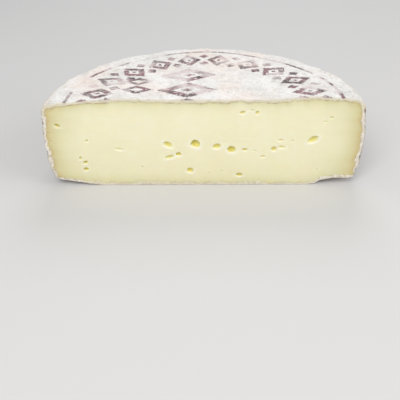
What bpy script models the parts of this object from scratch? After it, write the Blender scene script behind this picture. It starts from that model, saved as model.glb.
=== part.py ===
"""A half wheel of tomme cheese that rests on its base, with the cut face towards -Y.

It is one solid. An outline is turned through half a circle, smooth noise makes the rind uneven, and the eyes are
cut out of the flat face. Metres, +Z up. The origin is under the middle of the solid, on the surface it rests on.
"""

import math

import bmesh
import bpy
import numpy as np
from mathutils import Euler

MM = 0.001

# The wheel's driving sizes
WIDEST_RADIUS = 101 * MM
WIDEST_HEIGHT = 32 * MM
SIDE_BULGE = 1.9 * MM
TOP_HEIGHT = 61.7 * MM
TOP_FALL = 4 * MM
BASE_FLAT_RADIUS = 68 * MM
BASE_RISE = 5.4 * MM
CUT_Y = -50.95 * MM

# Where the rounded corners of the outline begin and end
BASE_EDGE_RADIUS = 97.0 * MM
SIDE_LOW = 7.5 * MM
SIDE_HIGH = 53.0 * MM
TOP_EDGE_RADIUS = 92.5 * MM

# How finely the turned surface is divided
TURN_STEPS = 100
BASE_ROWS = 6
CORNER_ROWS = 4
SIDE_ROWS = 15
TOP_ROWS = 9

# The rind's unevenness: the size of one bump, and how far it stands out
SWELL_SIZE, SWELL_HEIGHT = 46 * MM, 0.9 * MM
CRAG_SIZE, CRAG_HEIGHT = 9 * MM, 1.5 * MM
CALM_AT_CUT = 0.35

# How the top has settled: beside the cut it dips in the middle and stands up as a shoulder towards each end,
# the right end's side is drawn in under its shoulder, and away from the cut the rim lifts
MIDDLE_DIP = 0.65 * MM
LEFT_SHOULDER, LEFT_SHOULDER_START, LEFT_SHOULDER_END = 1.3 * MM, 22 * MM, 50 * MM
RIGHT_SHOULDER, RIGHT_SHOULDER_START, RIGHT_SHOULDER_END = 3.0 * MM, 34 * MM, 74 * MM
RIGHT_DRAW, RIGHT_DRAW_START, RIGHT_DRAW_END = 1.2 * MM, 78 * MM, 96 * MM
RIM_LIFT, RIM_RADIUS = 1.2 * MM, 97 * MM

# A flake of rind that has broken off under the right end
FLAKE_START_X = 73 * MM
FLAKE_STEP = 3.5 * MM
FLAKE_END_X = 84 * MM
FLAKE_FADE = 12 * MM
FLAKE_DEPTH = 2.1 * MM
FLAKE_REACH_Y = 26 * MM

# The eyes on the cut face, each as x, z, width, height in millimetres and its tilt in degrees
EYES = (
    (-5.3, 31.1, 5.4, 5.6, 0),
    (17.7, 26.7, 5.8, 5.2, -12),
    (-22.9, 30.5, 6.2, 4.0, -35),
    (8.5, 29.0, 4.8, 3.6, 10),
    (69.0, 33.7, 6.8, 3.7, 30),
    (44.7, 26.8, 3.9, 3.3, 15),
    (49.5, 28.1, 5.0, 2.2, -4),
    (-22.4, 21.1, 5.8, 2.9, 20),
    (-16.2, 23.4, 3.8, 2.7, 8),
    (-8.9, 11.2, 4.6, 3.3, 0),
    (23.2, 7.6, 4.0, 2.5, -6),
    (26.0, 26.5, 3.6, 2.1, 0),
    (38.0, 21.3, 3.2, 1.7, 5),
    (-91.1, 44.2, 3.4, 2.2, -20),
    (-79.8, 20.6, 1.6, 2.8, 0),
    (-76.8, 17.6, 3.4, 2.3, 25),
    (-77.1, 12.3, 2.8, 2.4, 0),
    (-54.3, 27.2, 5.2, 1.8, -10),
    (48.6, 33.2, 3.4, 1.4, 0),
    (23.9, 52.4, 3.6, 2.2, 12),
    (29.6, 54.0, 2.8, 1.3, 0),
    (33.0, 52.2, 2.5, 2.2, 0),
    (78.7, 48.7, 2.4, 1.3, 0),
    (-74.0, 33.3, 2.0, 1.7, 0),
)
EYE_DEPTH_SHARE = 0.55
EYE_LEAST_DEPTH = 0.9 * MM
EYE_BUMPS = 0.12
LARGE_EYE = 3.5 * MM

PASTE_COLOUR = (0.86, 0.79, 0.52, 1.0)
RIND_COLOUR = (0.62, 0.57, 0.50, 1.0)


def smooth_step(value, low, high):
    """0 below low, 1 above high, and a soft S between them."""
    t = np.clip((value - low) / (high - low), 0.0, 1.0)
    return t * t * (3.0 - 2.0 * t)


def hashed(cell, seed):
    """One repeatable value from -1 to 1 for each whole-numbered lattice cell, by mixing its three numbers."""
    n = cell.astype(np.int64)
    mixed = n[..., 0] * 73856093 ^ n[..., 1] * 19349663 ^ n[..., 2] * 83492791 ^ seed * 2654435761
    mixed = (mixed ^ (mixed >> 13)) & 0xFFFFFFFF
    mixed = (mixed * 1274126177) & 0xFFFFFFFF
    mixed = mixed ^ (mixed >> 16)
    return (mixed & 0xFFFFFF) / float(0x7FFFFF) - 1.0


def noise(points, size, seed):
    """Smooth noise from -1 to 1: the eight values round each point's lattice cell, blended by soft weights."""
    scaled = points / size
    cell = np.floor(scaled)
    share = scaled - cell
    share = share * share * (3.0 - 2.0 * share)
    total = np.zeros(len(points))
    for corner in np.ndindex(2, 2, 2):
        offset = np.array(corner)
        weight = np.prod(np.where(offset == 1, share, 1.0 - share), axis=1)
        total += weight * hashed(cell + offset, seed)
    return total


def side_radius(height):
    """The side's bulge: widest at WIDEST_HEIGHT, and drawn in towards both faces."""
    away = np.abs(height - WIDEST_HEIGHT) / (25 * MM)
    return WIDEST_RADIUS - SIDE_BULGE * away**2.2


def top_height(radius):
    """The top sinks slowly towards its rim."""
    return TOP_HEIGHT - TOP_FALL * (radius / (97 * MM)) ** 3


def base_height(radius):
    """The base is flat in the middle and lifts towards its rim."""
    outside = np.maximum(radius - BASE_FLAT_RADIUS, 0.0) / (30 * MM)
    return BASE_RISE * outside**1.2


def corner(start, knee, end):
    """A quadratic curve from start to end that bends towards the knee, without its two end points."""
    t = np.linspace(0.0, 1.0, CORNER_ROWS + 1)[1:-1, None]
    return (1 - t) ** 2 * np.array(start) + 2 * t * (1 - t) * np.array(knee) + t**2 * np.array(end)


def outline():
    """Radius and height of the rind, from the base's centre out, up the side and in to the top's centre."""
    base_r = np.concatenate([[0.0], np.linspace(BASE_FLAT_RADIUS, BASE_EDGE_RADIUS, BASE_ROWS)])
    side_z = np.linspace(SIDE_LOW, SIDE_HIGH, SIDE_ROWS)
    top_r = TOP_EDGE_RADIUS * np.sqrt(np.linspace(1.0, 0.0, TOP_ROWS))
    base = np.column_stack([base_r, base_height(base_r)])
    side = np.column_stack([side_radius(side_z), side_z])
    top = np.column_stack([top_r, top_height(top_r)])
    low_knee = (WIDEST_RADIUS - SIDE_BULGE, BASE_RISE)
    high_knee = (WIDEST_RADIUS - SIDE_BULGE, top_height(WIDEST_RADIUS - SIDE_BULGE))
    low_corner = corner(base[-1], low_knee, side[0])
    high_corner = corner(side[-1], high_knee, top[0])
    return np.concatenate([base, low_corner, side, high_corner, top])


def turned_half(points):
    """The outline spun through half a circle about the wheel's axis, and closed by one flat face at the cut."""
    mesh = bmesh.new()
    verts = [mesh.verts.new((r, CUT_Y, z)) for r, z in points]
    edges = [mesh.edges.new(pair) for pair in zip(verts, verts[1:])]
    bmesh.ops.spin(mesh, geom=verts + edges, cent=(0, CUT_Y, 0), axis=(0, 0, 1), angle=math.pi, steps=TURN_STEPS)
    bmesh.ops.remove_doubles(mesh, verts=mesh.verts, dist=0.001 * MM)
    rim = [edge for edge in mesh.edges if edge.is_boundary]
    bmesh.ops.holes_fill(mesh, edges=rim)
    bmesh.ops.recalc_face_normals(mesh, faces=mesh.faces)
    return mesh


def uneven(points):
    """The points of the smooth body, moved by the rind's swells and crags, the settled top and the broken flake."""
    x, y, z = points.T
    along = y - CUT_Y
    radius = np.hypot(x, along)
    away_from_cut = smooth_step(along, 0.0, 45 * MM)
    strength = CALM_AT_CUT + (1.0 - CALM_AT_CUT) * away_from_cut
    near_side = smooth_step(radius, 84 * MM, 97 * MM)
    near_top = smooth_step(z, 34 * MM, 58 * MM)
    lifted_base = smooth_step(radius, BASE_FLAT_RADIUS, 90 * MM) * (1.0 - smooth_step(z, 8 * MM, 16 * MM))

    swell = noise(points, SWELL_SIZE, 59) * SWELL_HEIGHT
    crag = (0.35 - np.abs(noise(points, CRAG_SIZE, 11))) * CRAG_HEIGHT * strength
    outward = (swell * strength + crag) * near_side
    outward -= RIGHT_DRAW * smooth_step(x, RIGHT_DRAW_START, RIGHT_DRAW_END) * (1.0 - away_from_cut) * near_top
    settled = LEFT_SHOULDER * smooth_step(-x, LEFT_SHOULDER_START, LEFT_SHOULDER_END) - MIDDLE_DIP
    settled += RIGHT_SHOULDER * smooth_step(x, RIGHT_SHOULDER_START, RIGHT_SHOULDER_END)
    lift = RIM_LIFT * (radius / RIM_RADIUS) ** 3 + swell * (1.0 - near_side)
    upward = settled * (1.0 - away_from_cut) + lift * away_from_cut + 0.4 * crag * near_side
    upward *= near_top
    upward += 0.5 * np.abs(noise(points, CRAG_SIZE, 23)) * CRAG_HEIGHT * lifted_base
    flake = smooth_step(x, FLAKE_START_X, FLAKE_START_X + FLAKE_STEP)
    flake *= 1.0 - smooth_step(x, FLAKE_END_X, FLAKE_END_X + FLAKE_FADE)
    flake *= 1.0 - smooth_step(along, 0.0, FLAKE_REACH_Y)
    upward += FLAKE_DEPTH * flake * (1.0 - smooth_step(z, 3 * MM, 10 * MM))

    wider = (radius + outward) / np.maximum(radius, MM)
    return np.column_stack([x * wider, CUT_Y + along * wider, z + upward])


def object_from(mesh, name):
    """A scene object that holds this bmesh."""
    data = bpy.data.meshes.new(name)
    mesh.to_mesh(data)
    mesh.free()
    made = bpy.data.objects.new(name, data)
    bpy.context.collection.objects.link(made)
    return made


def eye_cutter():
    """All the eyes as one helper: bumpy flattened balls, each half sunk in the cut face."""
    mesh = bmesh.new()
    for index, (x, z, width, height, tilt) in enumerate(EYES):
        half = np.array([width / 2, max(height * EYE_DEPTH_SHARE, EYE_LEAST_DEPTH / MM), height / 2]) * MM
        detail = 2 if width * MM > LARGE_EYE else 1
        ball = bmesh.ops.create_icosphere(mesh, subdivisions=detail + 1, radius=1.0)["verts"]
        # Each ball is first turned at random, so that none of its corners lies exactly in the cut face
        shape = np.array([vert.co for vert in ball]) @ np.array(Euler((0.4 + index, 0.7 * index, 1.1)).to_matrix())
        shape *= (1.0 + EYE_BUMPS * noise(shape + 10.0 * index, 0.9, 41))[:, None] * half
        turn = math.radians(tilt)
        placed_x = shape[:, 0] * math.cos(turn) - shape[:, 2] * math.sin(turn) + x * MM
        placed_z = shape[:, 0] * math.sin(turn) + shape[:, 2] * math.cos(turn) + z * MM
        for vert, place in zip(ball, zip(placed_x, shape[:, 1] + CUT_Y, placed_z)):
            vert.co = place
    cutter = object_from(mesh, "eye_cutter")
    cutter.hide_render = True
    cutter.display_type = "WIRE"
    return cutter


def finish(name, colour, roughness):
    """A Principled material with one colour."""
    material = bpy.data.materials.new(name)
    material.use_nodes = True
    shader = material.node_tree.nodes["Principled BSDF"]
    shader.inputs["Base Color"].default_value = colour
    shader.inputs["Roughness"].default_value = roughness
    shader.inputs["Metallic"].default_value = 0.0
    return material


def half_wheel():
    """The half wheel itself, with the rind's finish outside and the paste's on the cut face."""
    mesh = turned_half(outline())
    places = uneven(np.array([vert.co for vert in mesh.verts]))
    for vert, place in zip(mesh.verts, places):
        vert.co = place
    cut_face = max(mesh.faces, key=lambda face: len(face.verts))
    cut_face.material_index = 1
    made = object_from(mesh, "half_wheel")
    made.data.materials.append(finish("rind", RIND_COLOUR, 0.85))
    made.data.materials.append(finish("paste", PASTE_COLOUR, 0.5))
    made.data.shade_smooth()
    made.data.set_sharp_from_angle(angle=math.radians(50))
    eyes = made.modifiers.new("eyes", "BOOLEAN")
    eyes.operation = "DIFFERENCE"
    eyes.solver = "EXACT"
    eyes.use_self = True
    eyes.object = eye_cutter()
    eyes.object.data.materials.append(made.data.materials["paste"])
    return made


def main():
    for old in list(bpy.data.objects):
        bpy.data.objects.remove(old)
    half_wheel()


main()
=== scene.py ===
# %% [markdown]
# # Half a tomme cheese
# A tomme is a round, low cheese. Its crust is grey-brown under a dry white mould, and its paste is ivory with
# small eyes. This notebook dresses the plain solid of one half wheel with its real surfaces: the rind, the
# cut paste inside it, the worn stamp on top, and then light, floor and camera. Lengths are in metres.
#
# The solid comes first, because every piece is placed in its frame: +X along the cut, the cut face towards
# -Y, +Z up, and the origin under the middle.

# %% The solid and its box
import math

import bmesh
import bpy
import numpy as np
from mathutils import Euler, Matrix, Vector


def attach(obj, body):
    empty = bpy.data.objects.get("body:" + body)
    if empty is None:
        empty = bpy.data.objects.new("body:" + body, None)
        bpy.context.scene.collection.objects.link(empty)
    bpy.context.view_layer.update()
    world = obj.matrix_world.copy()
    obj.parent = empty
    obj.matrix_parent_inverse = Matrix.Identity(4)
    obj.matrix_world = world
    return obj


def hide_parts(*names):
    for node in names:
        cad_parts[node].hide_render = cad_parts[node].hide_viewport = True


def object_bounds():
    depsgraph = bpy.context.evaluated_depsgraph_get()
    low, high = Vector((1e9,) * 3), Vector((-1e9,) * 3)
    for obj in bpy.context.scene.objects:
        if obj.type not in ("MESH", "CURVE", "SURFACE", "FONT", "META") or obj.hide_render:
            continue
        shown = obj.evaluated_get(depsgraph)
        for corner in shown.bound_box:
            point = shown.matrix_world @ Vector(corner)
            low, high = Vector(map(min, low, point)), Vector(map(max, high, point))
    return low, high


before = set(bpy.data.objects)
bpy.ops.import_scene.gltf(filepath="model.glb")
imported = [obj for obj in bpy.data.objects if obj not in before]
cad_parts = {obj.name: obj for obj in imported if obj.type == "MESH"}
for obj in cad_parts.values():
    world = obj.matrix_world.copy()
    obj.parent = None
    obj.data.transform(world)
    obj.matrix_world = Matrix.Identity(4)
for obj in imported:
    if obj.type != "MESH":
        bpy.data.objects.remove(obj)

MM = 0.001
solid_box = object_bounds()
print("solid's box in mm:", [[round(v / MM, 1) for v in corner] for corner in solid_box])

# %% [markdown]
# ## The wheel's form
# A wheel of cheese is a turned shape that has settled: its side bulges, its top sinks a little towards the
# rim, and its base lifts where the rim curls up. It could be sculpted from a cylinder. Here the outline is
# written as a few formulas instead, because the rind and the paste must meet along the same line, and both
# can then ask the same functions where that line runs. The values are those of the solid.

# %% Driving sizes of the wheel
WIDEST_RADIUS = 101 * MM
WIDEST_HEIGHT = 32 * MM
SIDE_BULGE = 1.9 * MM
TOP_HEIGHT = 61.7 * MM
TOP_FALL = 4 * MM
BASE_FLAT_RADIUS = 68 * MM
BASE_RISE = 5.4 * MM
CUT_Y = -50.95 * MM
BASE_EDGE_RADIUS = 97.0 * MM
SIDE_LOW, SIDE_HIGH = 7.5 * MM, 53.0 * MM
TOP_EDGE_RADIUS = 92.5 * MM


def smooth_step(value, low, high):
    """0 below low, 1 above high, and a soft S between them."""
    t = np.clip((value - low) / (high - low), 0.0, 1.0)
    return t * t * (3.0 - 2.0 * t)


def side_radius(height):
    """The side: widest at WIDEST_HEIGHT, and drawn in with the 2.2nd power of the distance from it."""
    return WIDEST_RADIUS - SIDE_BULGE * (np.abs(height - WIDEST_HEIGHT) / (25 * MM)) ** 2.2


def top_height(radius):
    """The top: it falls with the cube of the radius."""
    return TOP_HEIGHT - TOP_FALL * (radius / (97 * MM)) ** 3


def base_height(radius):
    """The base: flat to BASE_FLAT_RADIUS, then it lifts with the 1.2nd power of the distance beyond."""
    return BASE_RISE * (np.maximum(radius - BASE_FLAT_RADIUS, 0.0) / (30 * MM)) ** 1.2


print("wheel", 2 * WIDEST_RADIUS / MM, "mm across and", TOP_HEIGHT / MM, "mm high")

# %% The outline between the flat faces
BASE_PATCH_RADIUS = 86 * MM
TOP_PATCH_RADIUS = 88 * MM
SIDE_ROWS = 92


def bend(start, knee, end, count=24):
    """A quadratic curve from start to end that bends towards the knee: (1-t)^2 a + 2t(1-t) b + t^2 c."""
    t = np.linspace(0.0, 1.0, count)[:, None]
    return (1 - t) ** 2 * np.array(start) + 2 * t * (1 - t) * np.array(knee) + t**2 * np.array(end)


def spaced(line, count):
    """The polyline sampled again at count + 1 points, with equal lengths between them."""
    steps = np.linalg.norm(np.diff(line, axis=0), axis=1)
    travelled = np.concatenate([[0.0], np.cumsum(steps)])
    wanted = np.linspace(0.0, travelled[-1], count + 1)
    return np.column_stack([np.interp(wanted, travelled, column) for column in line.T])


def side_outline():
    """Radius and height from the base's lifted rim, round the lower corner, up the side and onto the top."""
    base_r = np.linspace(BASE_PATCH_RADIUS, BASE_EDGE_RADIUS, 24)
    side_z = np.linspace(SIDE_LOW, SIDE_HIGH, 60)
    top_r = np.linspace(TOP_EDGE_RADIUS, TOP_PATCH_RADIUS, 12)
    base = np.column_stack([base_r, base_height(base_r)])
    side = np.column_stack([side_radius(side_z), side_z])
    top = np.column_stack([top_r, top_height(top_r)])
    knee_r = WIDEST_RADIUS - SIDE_BULGE
    low = bend(base[-1], (knee_r, BASE_RISE), side[0])[1:-1]
    high = bend(side[-1], (knee_r, top_height(knee_r)), top[0])[1:-1]
    return spaced(np.concatenate([base, low, side, high, top]), SIDE_ROWS)


profile = side_outline()
print("side outline of", len(profile), "points,", round(float(np.ptp(profile[:, 1])) / MM, 1), "mm high")

# %% [markdown]
# ## Unevenness from repeatable noise
# No wheel is turned true: pressing, shelves and hands leave swells and crags, and mould breaks the crust into
# crumbs. Blender's noise textures could move the points through a Displace modifier. A small noise function
# in numpy does the same for whole arrays at once, and it gives both pieces and the solid the same bumps.

# %% Noise
def hashed(cell, seed):
    """One repeatable value from -1 to 1 for each whole-numbered lattice cell, by mixing its three numbers."""
    n = cell.astype(np.int64)
    mixed = n[..., 0] * 73856093 ^ n[..., 1] * 19349663 ^ n[..., 2] * 83492791 ^ seed * 2654435761
    mixed = (mixed ^ (mixed >> 13)) & 0xFFFFFFFF
    mixed = (mixed * 1274126177) & 0xFFFFFFFF
    mixed = mixed ^ (mixed >> 16)
    return (mixed & 0xFFFFFF) / float(0x7FFFFF) - 1.0


def noise(points, size, seed):
    """Smooth noise from -1 to 1: the eight values round a point's lattice cell, blended by soft weights."""
    scaled = points / size
    cell = np.floor(scaled)
    share = scaled - cell
    share = share * share * (3.0 - 2.0 * share)
    total = np.zeros(len(points))
    for corner in np.ndindex(2, 2, 2):
        offset = np.array(corner)
        weight = np.prod(np.where(offset == 1, share, 1.0 - share), axis=1)
        total += weight * hashed(cell + offset, seed)
    return total


TILT = np.array(Euler((0.61, 1.13, 0.37)).to_matrix())


def tilted_noise(points, size, seed):
    """The same noise on a lattice turned off the axes, so that fine grain shows no rows."""
    return noise(points @ TILT, size, seed)


sample = noise(np.random.default_rng(1).uniform(0, 1, (5000, 3)), 0.05, 3)
print("noise runs from", round(float(sample.min()), 2), "to", round(float(sample.max()), 2))

# %% Swells, crags and the broken flake
SWELL_SIZE, SWELL_HEIGHT = 46 * MM, 0.9 * MM
CRAG_SIZE, CRAG_HEIGHT = 9 * MM, 1.5 * MM
CALM_AT_CUT = 0.35
MIDDLE_DIP = 0.65 * MM
LEFT_SHOULDER, LEFT_SHOULDER_START, LEFT_SHOULDER_END = 1.3 * MM, 22 * MM, 50 * MM
RIGHT_SHOULDER, RIGHT_SHOULDER_START, RIGHT_SHOULDER_END = 3.0 * MM, 34 * MM, 74 * MM
RIGHT_DRAW, RIGHT_DRAW_START, RIGHT_DRAW_END = 1.2 * MM, 78 * MM, 96 * MM
RIM_LIFT, RIM_RADIUS = 1.2 * MM, 97 * MM
FLAKE_START_X, FLAKE_STEP = 73 * MM, 3.5 * MM
FLAKE_END_X, FLAKE_FADE = 84 * MM, 12 * MM
FLAKE_DEPTH, FLAKE_REACH_Y = 2.1 * MM, 26 * MM


def uneven(points):
    """The smooth wheel's points moved outward and upward by swells and crags, by the top's dip and shoulders
    beside the cut and the rim's lift away from it, and by a flake broken off under the right end."""
    x, y, z = points.T
    along = y - CUT_Y
    radius = np.hypot(x, along)
    away_from_cut = smooth_step(along, 0.0, 45 * MM)
    strength = CALM_AT_CUT + (1.0 - CALM_AT_CUT) * away_from_cut
    near_side = smooth_step(radius, 84 * MM, 97 * MM)
    near_top = smooth_step(z, 34 * MM, 58 * MM)
    lifted_base = smooth_step(radius, BASE_FLAT_RADIUS, 90 * MM) * (1.0 - smooth_step(z, 8 * MM, 16 * MM))
    swell = noise(points, SWELL_SIZE, 59) * SWELL_HEIGHT
    crag = (0.35 - np.abs(noise(points, CRAG_SIZE, 11))) * CRAG_HEIGHT * strength
    outward = (swell * strength + crag) * near_side
    draw = RIGHT_DRAW * smooth_step(x, RIGHT_DRAW_START, RIGHT_DRAW_END)
    outward -= draw * (1.0 - away_from_cut) * near_top
    settled = LEFT_SHOULDER * smooth_step(-x, LEFT_SHOULDER_START, LEFT_SHOULDER_END) - MIDDLE_DIP
    settled += RIGHT_SHOULDER * smooth_step(x, RIGHT_SHOULDER_START, RIGHT_SHOULDER_END)
    lift = RIM_LIFT * (radius / RIM_RADIUS) ** 3 + swell * (1.0 - near_side)
    upward = settled * (1.0 - away_from_cut) + lift * away_from_cut + 0.4 * crag * near_side
    upward *= near_top
    upward += 0.5 * np.abs(noise(points, CRAG_SIZE, 23)) * CRAG_HEIGHT * lifted_base
    flake = smooth_step(x, FLAKE_START_X, FLAKE_START_X + FLAKE_STEP)
    flake *= 1.0 - smooth_step(x, FLAKE_END_X, FLAKE_END_X + FLAKE_FADE)
    flake *= 1.0 - smooth_step(along, 0.0, FLAKE_REACH_Y)
    upward += FLAKE_DEPTH * flake * (1.0 - smooth_step(z, 3 * MM, 10 * MM))
    wider = (radius + outward) / np.maximum(radius, MM)
    return np.column_stack([x * wider, CUT_Y + along * wider, z + upward])


# %% [markdown]
# ## The rind
# The rind wraps the top, the side and the base, and at the cut it shows as a crumbly line, some 2 to 2.5 mm
# wide. It could be one turned surface, but rings that shrink to a pole crowd their points in its middle.
# Three grids are used instead: a strip round the side, and a patch on each flat face whose four borders are
# the cut line and three parts of the strip's edge. A narrow band then folds in at the cut, and a shallow tray
# behind it takes the paste.

# %% Helpers for joined grids
def filled_patch(front, back, left, right):
    """The surface between four border lines: the two straight blends of opposite borders added up, less the
    blend of the four corners, which both of them hold. Rows run from front to back."""
    u = np.linspace(0.0, 1.0, len(front))[None, :, None]
    v = np.linspace(0.0, 1.0, len(left))[:, None, None]
    across = (1 - v) * front[None] + v * back[None]
    along = (1 - u) * left[:, None] + u * right[:, None]
    corners = (1 - v) * ((1 - u) * front[0] + u * front[-1]) + v * ((1 - u) * back[0] + u * back[-1])
    return across + along - corners


class Shell:
    """Points and four-sided faces that grow grid by grid, and share the points where grids meet."""

    def __init__(self):
        self.points = np.empty((0, 3))
        self.faces = []

    def add(self, points):
        """Store new points, and give the number of each."""
        flat = points.reshape(-1, 3)
        numbers = np.arange(len(flat)) + len(self.points)
        self.points = np.concatenate([self.points, flat])
        return numbers.reshape(points.shape[:-1])

    def join(self, grid, closed=False):
        """Join a grid of point numbers into faces, also from its last column to its first if it is closed."""
        if closed:
            grid = np.concatenate([grid, grid[:, :1]], axis=1)
        corners = [grid[:-1, :-1], grid[:-1, 1:], grid[1:, 1:], grid[1:, :-1]]
        self.faces.append(np.stack(corners, axis=-1).reshape(-1, 4))

    def normals(self):
        """Each point's direction: the sum of its faces' normals, which weighs each face by its size."""
        quads = np.concatenate(self.faces)
        a, b, c, d = (self.points[quads[:, i]] for i in range(4))
        face_normals = np.cross(c - a, d - b)
        total = np.zeros_like(self.points)
        for i in range(4):
            np.add.at(total, quads[:, i], face_normals)
        return total / np.maximum(np.linalg.norm(total, axis=1), 1e-12)[:, None]


def piece_from(name, points, faces, caps, attributes):
    """A smooth-shaded object from points, four-sided faces and many-sided caps, with one value per point for
    each attribute, and with all faces turned outwards."""
    mesh = bpy.data.meshes.new(name)
    corners = np.concatenate(faces).tolist() + [[int(number) for number in cap] for cap in caps]
    mesh.from_pydata(points.tolist(), [], corners)
    work = bmesh.new()
    work.from_mesh(mesh)
    bmesh.ops.recalc_face_normals(work, faces=work.faces)
    work.to_mesh(mesh)
    work.free()
    for key, values in attributes.items():
        mesh.attributes.new(key, "FLOAT", "POINT").data.foreach_set("value", values.astype(np.float32))
    mesh.shade_smooth()
    made = bpy.data.objects.new(name, mesh)
    bpy.context.collection.objects.link(made)
    triangles = sum(len(face.vertices) - 2 for face in mesh.polygons)
    print(name, "has", len(points), "points and", triangles, "triangles")
    return made


# %% The rind's outer skin
PATCH_ACROSS = 230
PATCH_DEEP = 95


def skin():
    """The strip round the side and the two patches, still smooth. The strip is the outline turned from pi to
    0 about the wheel's axis: x = r cos a, y = cut + r sin a. Each patch's borders are the cut line and the
    strip's edge, and its height is the top's or the base's formula of the radius."""
    shell = Shell()
    columns = 2 * PATCH_DEEP + PATCH_ACROSS
    angle = np.linspace(math.pi, 0.0, columns + 1)
    r, z = profile[:, :1], profile[:, 1:]
    strip = np.stack([r * np.cos(angle), CUT_Y + r * np.sin(angle), z + 0 * angle], axis=-1)
    strip[:, [0, -1], 1] = CUT_Y
    side = shell.add(strip)
    shell.join(side)
    fronts = []
    for row, height in ((0, base_height), (-1, top_height)):
        edge = strip[row]
        left, back, right = edge[: PATCH_DEEP + 1], edge[PATCH_DEEP:-PATCH_DEEP], edge[: -PATCH_DEEP - 2 : -1]
        front = np.linspace(edge[0], edge[-1], PATCH_ACROSS + 1)
        inside = filled_patch(front, back, left, right)[:-1, 1:-1]
        inside[..., 2] = height(np.hypot(inside[..., 0], inside[..., 1] - CUT_Y))
        grid = np.empty((PATCH_DEEP + 1, PATCH_ACROSS + 1), dtype=int)
        grid[:, 0] = side[row, : PATCH_DEEP + 1]
        grid[-1] = side[row, PATCH_DEEP:-PATCH_DEEP]
        grid[:, -1] = side[row, : -PATCH_DEEP - 2 : -1]
        grid[:-1, 1:-1] = shell.add(inside)
        # The top's grid is turned over, so that all the faces look the same way
        shell.join(grid if row == 0 else grid[::-1])
        fronts.append(grid[0, 1:-1])
    base_front, top_front = fronts
    loop = np.concatenate([side[:, 0], top_front, side[::-1, -1], base_front[::-1]])
    return shell, loop


shell, loop = skin()
print("outer skin of", len(shell.points), "points, and a cut line of", len(loop))

# %% [markdown]
# ## The crust's relief
# Up close the crust is a landscape a millimetre deep: rounded lumps, a net of fine cracks, pits, and crumbs
# of mould. A bump texture alone would leave the outline smooth, and on a real cheese the edge of the cut is
# frayed. So the points themselves move along their normals, and the shader's bump adds only what is finer
# than the grid. How deep each point lies is also kept as an attribute, which paints shade into the pits and
# cracks.

# %% Packed crumbs
RELIEF_SEED = 60
GRAIN_SIZE, GRAIN_HEIGHT = 3.0 * MM, 0.60 * MM
GRAIN_REACH = 0.75
GRAIN_JITTER = 0.42
GRAIN_STIR = 0.35
GRAIN_PRESS = (1.0, 1.0, 1.5)


def packed_grains(points, size, seed):
    """Ragged flat grains packed at random. For each stirred point the nearest of the lattice's jittered
    middles gives a dome, the root of 1 - (d / reach)^2 where d is the distance in lattice cells, and that
    grain's own random value from 0 to 1."""
    stir = np.column_stack([noise(points, 0.8 * size, seed + axis) for axis in (5, 6, 7)])
    scaled = (points + GRAIN_STIR * size * stir) * GRAIN_PRESS @ TILT / size
    cell = np.floor(scaled)
    nearest = np.full(len(points), 9.0)
    own = np.zeros(len(points))
    for corner in np.ndindex(3, 3, 3):
        neighbour = cell + np.array(corner) - 1.0
        jitter = np.column_stack([hashed(neighbour, seed + axis) for axis in range(3)])
        distance = np.linalg.norm(scaled - (neighbour + 0.5 + GRAIN_JITTER * jitter), axis=1)
        own = np.where(distance < nearest, 0.5 + 0.5 * hashed(neighbour, seed + 3), own)
        nearest = np.minimum(distance, nearest)
    return np.sqrt(np.clip(1.0 - (nearest / GRAIN_REACH) ** 2, 0.0, 1.0)), own


domes = packed_grains(shell.points[::40], GRAIN_SIZE, RELIEF_SEED)[0]
print("packed crumbs cover", round(100 * float(np.mean(domes > 0.0))), "% of the skin")

# %% Relief
LUMP_SIZE, LUMP_HEIGHT = 4.8 * MM, 0.30 * MM
CRACK_SIZE, CRACK_DEPTH = 7.0 * MM, 0.35 * MM
PIT_SIZE, PIT_DEPTH = 2.5 * MM, 0.45 * MM
SIDE_FROM, SIDE_TO = 93 * MM, 99 * MM
UNDER_FULL, UNDER_FADED = 4 * MM, 14 * MM
REST_FULL, REST_FADED = BASE_FLAT_RADIUS - 6 * MM, BASE_FLAT_RADIUS + 8 * MM
MEAN_RISE = 0.10 * MM
RISE_ON_FLATS = 0.32


def relief(points, sideness):
    """Height, share of painted pit shade, and crumb share of the crust: lumps, less cracks where a noise
    passes through zero, less pits where a finer noise is high, and on the side also packed grains, of which
    some are missing. The pit shade paints shade into cracks, pits and the gaps between grains."""
    lumps = LUMP_HEIGHT * tilted_noise(points, LUMP_SIZE, RELIEF_SEED)
    crack = 1.0 - smooth_step(np.abs(tilted_noise(points, CRACK_SIZE, RELIEF_SEED + 1)), 0.0, 0.16)
    pit = smooth_step(tilted_noise(points, PIT_SIZE, RELIEF_SEED + 2), 0.22, 0.75)
    dome, own = packed_grains(points, GRAIN_SIZE, RELIEF_SEED + 3)
    crumb = dome * smooth_step(own, 0.30, 0.75) * sideness
    height = lumps - CRACK_DEPTH * crack - PIT_DEPTH * pit + GRAIN_HEIGHT * (crumb - 0.3 * sideness)
    # The share of crack, pit and gap between grains, which paints shade into them
    pit_shade = np.clip(0.55 * crack + 0.75 * pit + 0.35 * sideness * (1.0 - dome) - 0.5 * crumb, 0.0, 1.0)
    return height, pit_shade, crumb * own


points = uneven(shell.points)
radius = np.hypot(shell.points[:, 0], shell.points[:, 1] - CUT_Y)
height = shell.points[:, 2]
sideness = smooth_step(radius, SIDE_FROM, SIDE_TO)
underside = smooth_step(-height, -UNDER_FADED, -UNDER_FULL)
resting = (1.0 - smooth_step(radius, REST_FULL, REST_FADED)) * underside
coarse_points = points.copy()
shell.points = points
normals = shell.normals()
# All the normals are turned over if the one in the middle of the top's cut line points down
if normals[loop[len(profile) + PATCH_ACROSS // 2], 2] < 0:
    normals = -normals
rise, pit_shade, crumb = relief(points, sideness)
print("relief from", round(float(rise.min() / MM), 2), "to", round(float(rise.max() / MM), 2), "mm")

# %% Relief and fray on the points
FRAY_BACK = 0.25 * MM
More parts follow.
